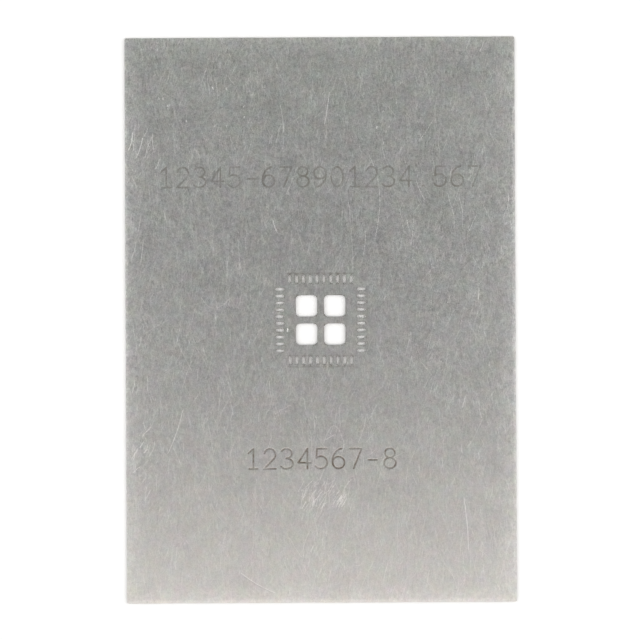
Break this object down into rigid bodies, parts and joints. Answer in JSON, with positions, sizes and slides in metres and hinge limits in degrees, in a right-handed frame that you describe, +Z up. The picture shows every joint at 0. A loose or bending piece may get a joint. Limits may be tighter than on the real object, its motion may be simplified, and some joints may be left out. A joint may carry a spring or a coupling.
{
  "type": "solder paste stencil",
  "caption": "Flat stainless foil with laser-cut round-ended slots in a square ring around windows; paste wiped across it lands on a circuit board's pads.",
  "frame": {"origin": "middle of the board side of the foil, under the middle of the aperture pattern", "axes": "+X across the foil, +Y along its long side towards the end with the longer laser mark, +Z up out of the squeegee side"},
  "size_m": [0.0286, 0.0412, 0.0001],
  "materials": {
    "stainless_foil": "rolled satin stainless with handling scratches and faint brown laser marks"
  },
  "bodies": {
    "root": {"stencil_foil": "stainless_foil"}
  },
  "joints": []
}
